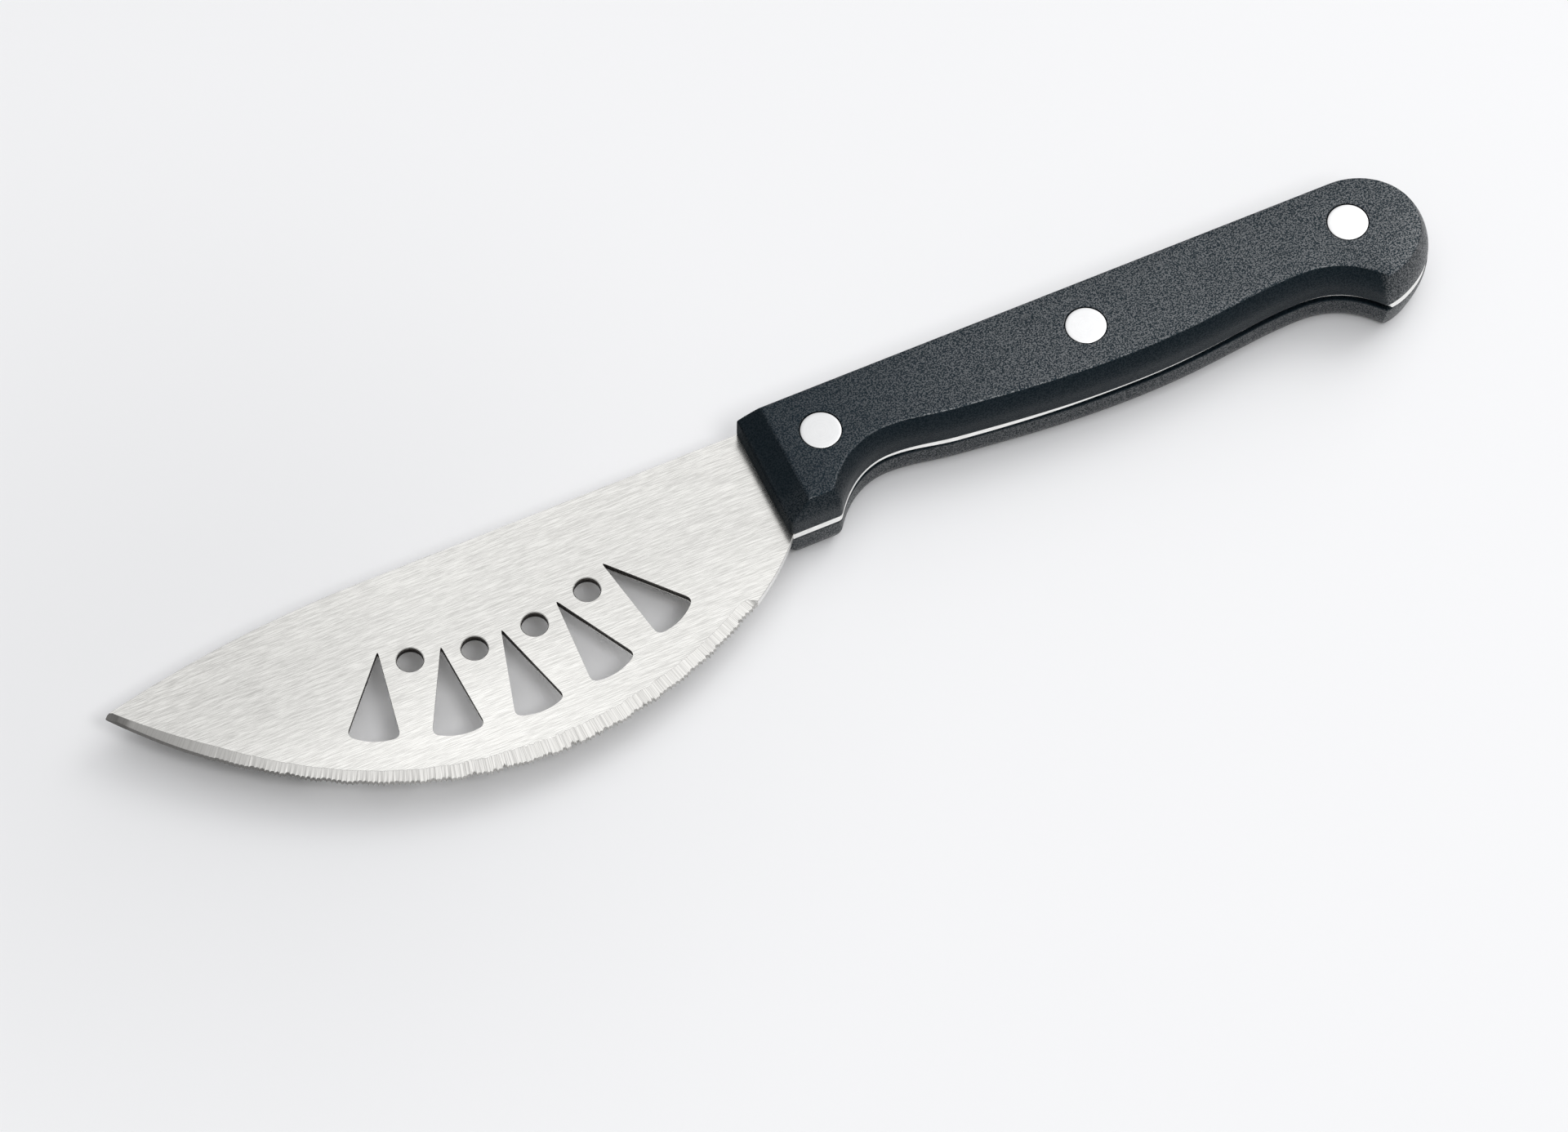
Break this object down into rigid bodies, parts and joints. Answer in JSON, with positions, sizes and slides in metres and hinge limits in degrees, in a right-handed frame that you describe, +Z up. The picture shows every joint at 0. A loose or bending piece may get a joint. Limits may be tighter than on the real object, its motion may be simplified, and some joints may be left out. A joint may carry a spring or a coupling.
{
  "type": "pizza knife",
  "caption": "Pizza knife lying on its side: broad serrated blade with a pointed tip, curved belly and slice-shaped windows, its full tang between riveted plastic handle scales.",
  "frame": {"origin": "centre of the bounding box's bottom, on the plane that the lower handle scale lies on", "axes": "+X along the knife from the blade's tip to the butt of the handle, +Y from the cutting edge to the spine, +Z up, from the lower handle scale to the upper one"},
  "size_m": [0.2206, 0.0394, 0.014],
  "materials": {
    "blade_steel": "fine lengthwise brushed grain",
    "handle_plastic": "fine blasted matt black",
    "rivet_aluminium": "faced smooth"
  },
  "bodies": {
    "root": {"blade": "blade_steel", "upper_scale": "handle_plastic", "lower_scale": "handle_plastic", "front_rivet_pin": "rivet_aluminium", "front_rivet_sleeve": "rivet_aluminium", "middle_rivet_pin": "rivet_aluminium", "middle_rivet_sleeve": "rivet_aluminium", "rear_rivet_pin": "rivet_aluminium", "rear_rivet_sleeve": "rivet_aluminium"}
  },
  "joints": []
}
